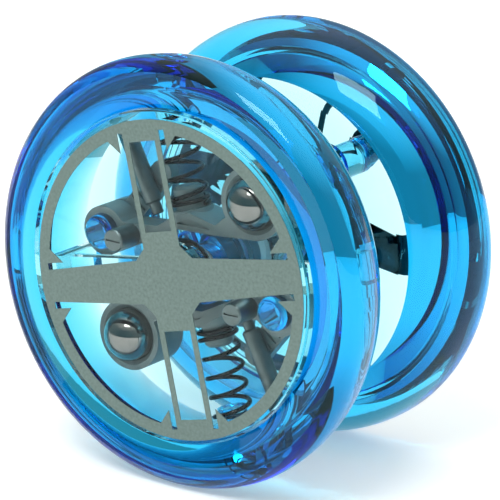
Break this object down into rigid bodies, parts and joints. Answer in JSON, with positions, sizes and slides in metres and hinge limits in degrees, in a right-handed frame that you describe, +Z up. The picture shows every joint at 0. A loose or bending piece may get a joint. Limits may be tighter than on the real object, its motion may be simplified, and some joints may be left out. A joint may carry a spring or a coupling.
{
  "type": "yo yo",
  "caption": "See-through blue automatic-return yo-yo with clear side caps, a plain ring-and-cross trim and a ball-weighted spring clutch inside one half.",
  "frame": {"origin": "middle of the axle, midway between the two halves", "axes": "axle along Y, the half with the clutch towards -Y, +Z up with the yo-yo standing on its two rims"},
  "size_m": [0.057, 0.0344, 0.057],
  "materials": {
    "blue_clear": "polished transparent blue",
    "clear_cap": "polished clear",
    "pale_clear": "polished clear",
    "trim": "fine brushed silver-grey print",
    "grey_plastic": "satin moulded",
    "grey_pin": "satin",
    "chrome_ball": "mirror polished",
    "black_spring": "oiled black steel wire",
    "steel": "plated",
    "spindle": "satin",
    "washer": "satin"
  },
  "bodies": {
    "yoyo_body": {"axle": "steel", "axle_bridge": "pale_clear", "front_cap": "clear_cap", "front_nut": "steel", "front_shell": "blue_clear", "front_trim": "trim", "front_washer": "washer", "rear_cap": "clear_cap", "rear_nut": "steel", "rear_shell": "blue_clear", "rear_trim": "trim", "rear_washer": "washer", "spring_a": "black_spring", "spring_b": "black_spring", "stop_bracket_a": "grey_plastic", "stop_bracket_b": "grey_plastic", "stop_pin_a": "grey_pin", "stop_pin_b": "grey_pin", "stop_sleeve_a": "grey_pin", "stop_sleeve_b": "grey_pin"},
    "string_spindle": {"spindle": "spindle", "brake_drum": "blue_clear"},
    "arm_a": {"clutch_arm_a": "grey_plastic", "steel_ball_a": "chrome_ball", "arm_pin_a": "grey_pin"},
    "arm_b": {"clutch_arm_b": "grey_plastic", "steel_ball_b": "chrome_ball", "arm_pin_b": "grey_pin"}
  },
  "joints": [
    {"name": "spindle_spin", "type": "hinge", "parent": "yoyo_body", "child": "string_spindle", "pos_m": [0, 0, 0], "axis": [0, -1, 0], "continuous": true},
    {"name": "arm_a_swing", "type": "hinge", "parent": "yoyo_body", "child": "arm_a", "pos_m": [-0.0138, -0.0101, 0.003], "axis": [0, -1, 0], "range_deg": [0, 3.4], "stiffness_Nm_per_rad": 0.2, "springref_deg": -2.86, "deforming": ["spring_a"]},
    {"name": "arm_b_swing", "type": "hinge", "parent": "yoyo_body", "child": "arm_b", "pos_m": [0.0138, -0.0101, -0.003], "axis": [0, -1, 0], "range_deg": [0, 3.4], "stiffness_Nm_per_rad": 0.2, "springref_deg": -2.86, "deforming": ["spring_b"]}
  ]
}
